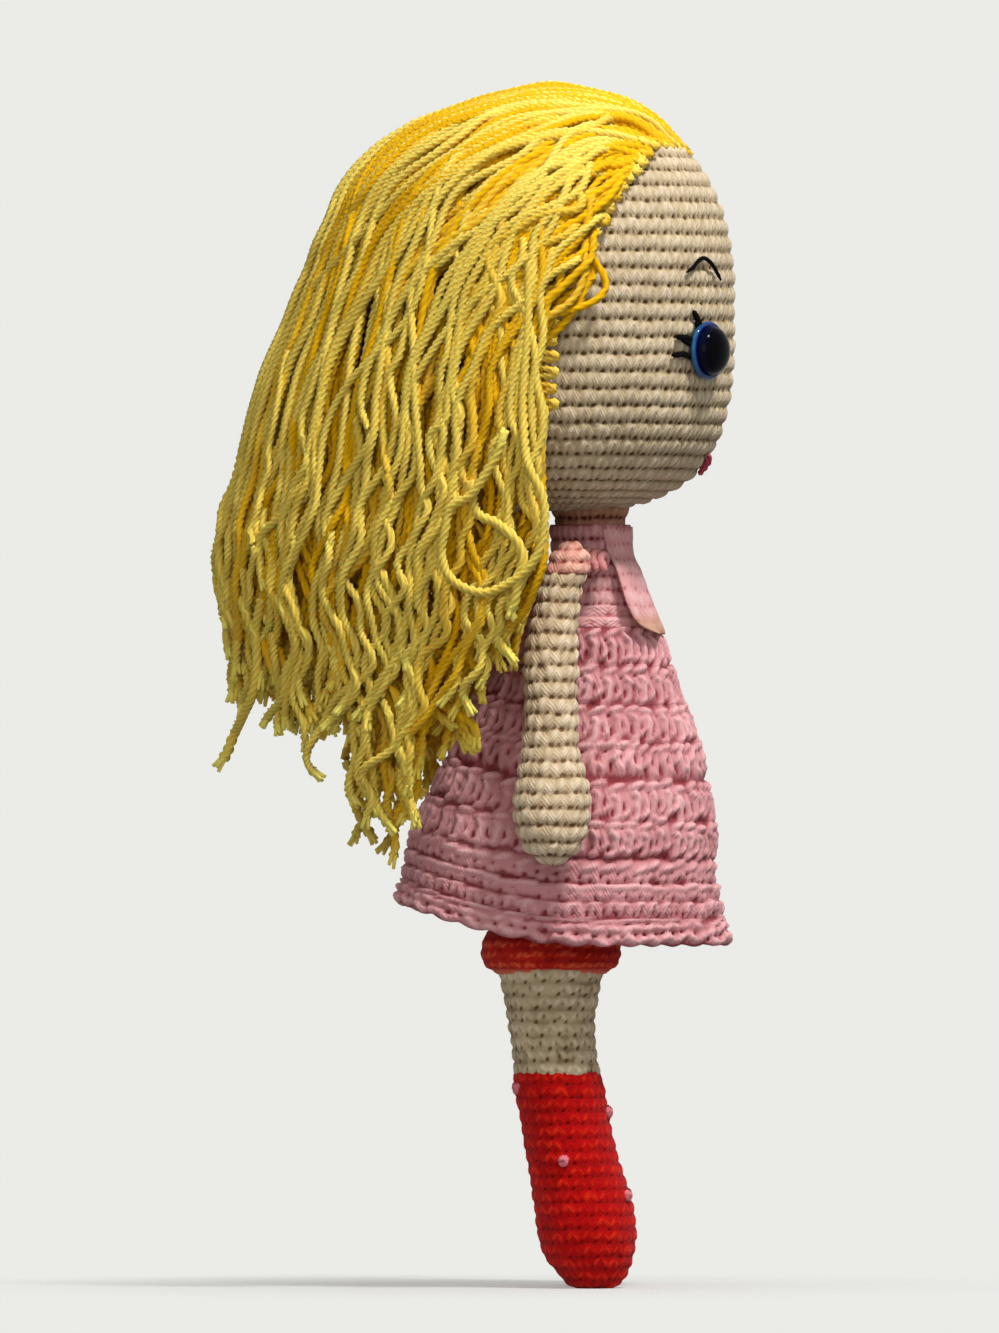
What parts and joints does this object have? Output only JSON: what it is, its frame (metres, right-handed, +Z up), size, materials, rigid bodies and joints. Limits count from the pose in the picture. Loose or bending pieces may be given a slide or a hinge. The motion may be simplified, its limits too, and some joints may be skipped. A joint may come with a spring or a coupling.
{
  "type": "amigurumi doll",
  "caption": "Crocheted stuffed doll with yarn hair, pink dress and red boots; head turns and nods, arms raise and swing, legs swing at the hips",
  "frame": {"origin": "inside the waist on the neck's axis, where a hand or a doll stand's clip holds the doll, 150 mm above the soles", "axes": "+Z up along the body, the doll faces -Y, its right side is at -X"},
  "size_m": [0.119, 0.1331, 0.309],
  "materials": {
    "skin_cotton": "matt beige cotton yarn in single crochet",
    "hair_cotton": "yellow plied cotton yarn, loose strands",
    "cap_cotton": "deep yellow cotton yarn in single crochet",
    "pink_cotton": "pink cotton yarn in double crochet",
    "cuff_cotton": "dark red cotton yarn with orange flecks",
    "boot_cotton": "bright red cotton yarn in single crochet",
    "dot_cotton": "pink yarn knots",
    "black_thread": "black embroidery thread",
    "rose_thread": "rose embroidery thread",
    "eye_black": "polished black",
    "eye_blue": "polished clear blue",
    "washer_plastic": "plain moulded",
    "polyester_filling": "loose white fibre"
  },
  "bodies": {
    "torso": {"body_shell": "skin_cotton", "body_stuffing": "polyester_filling", "skirt": "pink_cotton", "bodice": "pink_cotton", "collar": "pink_cotton", "right_lapel": "pink_cotton", "left_lapel": "pink_cotton"},
    "neck": {"neck_shell": "skin_cotton", "neck_stuffing": "polyester_filling"},
    "head": {"head_shell": "skin_cotton", "head_stuffing": "polyester_filling", "wig_cap": "cap_cotton", "hair_crown": "hair_cotton", "hair_lock_1": "hair_cotton", "hair_lock_2": "hair_cotton", "hair_lock_3": "hair_cotton", "hair_lock_4": "hair_cotton", "hair_lock_5": "hair_cotton", "hair_lock_6": "hair_cotton", "hair_lock_7": "hair_cotton", "hair_lock_8": "hair_cotton", "hair_lock_9": "hair_cotton", "hair_lock_10": "hair_cotton", "hair_lock_11": "hair_cotton", "hair_lock_12": "hair_cotton", "right_eye_iris": "eye_blue", "right_eye_pupil": "eye_black", "right_eye_washer": "washer_plastic", "right_lashes": "black_thread", "right_brow": "black_thread", "left_eye_iris": "eye_blue", "left_eye_pupil": "eye_black", "left_eye_washer": "washer_plastic", "left_lashes": "black_thread", "left_brow": "black_thread", "mouth": "rose_thread"},
    "right_shoulder": {"right_shoulder_stitches": "pink_cotton"},
    "right_arm": {"right_sleeve": "pink_cotton", "right_arm_shell": "skin_cotton", "right_arm_stuffing": "polyester_filling"},
    "right_leg": {"right_bloomer_cuff": "cuff_cotton", "right_calf": "skin_cotton", "right_boot": "boot_cotton", "right_leg_stuffing": "polyester_filling", "right_boot_dot_1": "dot_cotton", "right_boot_dot_2": "dot_cotton", "right_boot_dot_3": "dot_cotton", "right_boot_dot_4": "dot_cotton"},
    "left_shoulder": {"left_shoulder_stitches": "pink_cotton"},
    "left_arm": {"left_sleeve": "pink_cotton", "left_arm_shell": "skin_cotton", "left_arm_stuffing": "polyester_filling"},
    "left_leg": {"left_bloomer_cuff": "cuff_cotton", "left_calf": "skin_cotton", "left_boot": "boot_cotton", "left_leg_stuffing": "polyester_filling", "left_boot_dot_1": "dot_cotton", "left_boot_dot_2": "dot_cotton", "left_boot_dot_3": "dot_cotton", "left_boot_dot_4": "dot_cotton"}
  },
  "joints": [
    {"name": "neck_nod", "type": "hinge", "parent": "torso", "child": "neck", "pos_m": [0, 0, 0.037], "axis": [1, 0, 0], "range_deg": [-8, 12]},
    {"name": "head_turn", "type": "hinge", "parent": "neck", "child": "head", "pos_m": [0, 0, 0.048], "axis": [0, 0, 1], "range_deg": [-40, 40], "deforming": ["hair_lock_1", "hair_lock_2", "hair_lock_3", "hair_lock_4", "hair_lock_5", "hair_lock_6", "hair_lock_7", "hair_lock_8", "hair_lock_9", "hair_lock_10", "hair_lock_11", "hair_lock_12"]},
    {"name": "right_shoulder_raise", "type": "hinge", "parent": "torso", "child": "right_shoulder", "pos_m": [-0.01891, 0.0048, 0.034], "axis": [0, 1, 0], "range_deg": [0, 45]},
    {"name": "right_shoulder_swing", "type": "hinge", "parent": "right_shoulder", "child": "right_arm", "pos_m": [-0.01891, 0.0048, 0.034], "axis": [-1, 0, 0], "range_deg": [-5, 80]},
    {"name": "right_hip_swing", "type": "hinge", "parent": "torso", "child": "right_leg", "pos_m": [-0.015, 0.01, -0.046], "axis": [-1, 0, 0], "range_deg": [-28, 50]},
    {"name": "left_shoulder_raise", "type": "hinge", "parent": "torso", "child": "left_shoulder", "pos_m": [0.01891, 0.0048, 0.034], "axis": [0, -1, 0], "range_deg": [0, 45]},
    {"name": "left_shoulder_swing", "type": "hinge", "parent": "left_shoulder", "child": "left_arm", "pos_m": [0.01891, 0.0048, 0.034], "axis": [-1, 0, 0], "range_deg": [-5, 80]},
    {"name": "left_hip_swing", "type": "hinge", "parent": "torso", "child": "left_leg", "pos_m": [0.015, 0.01, -0.046], "axis": [-1, 0, 0], "range_deg": [-28, 50]}
  ]
}
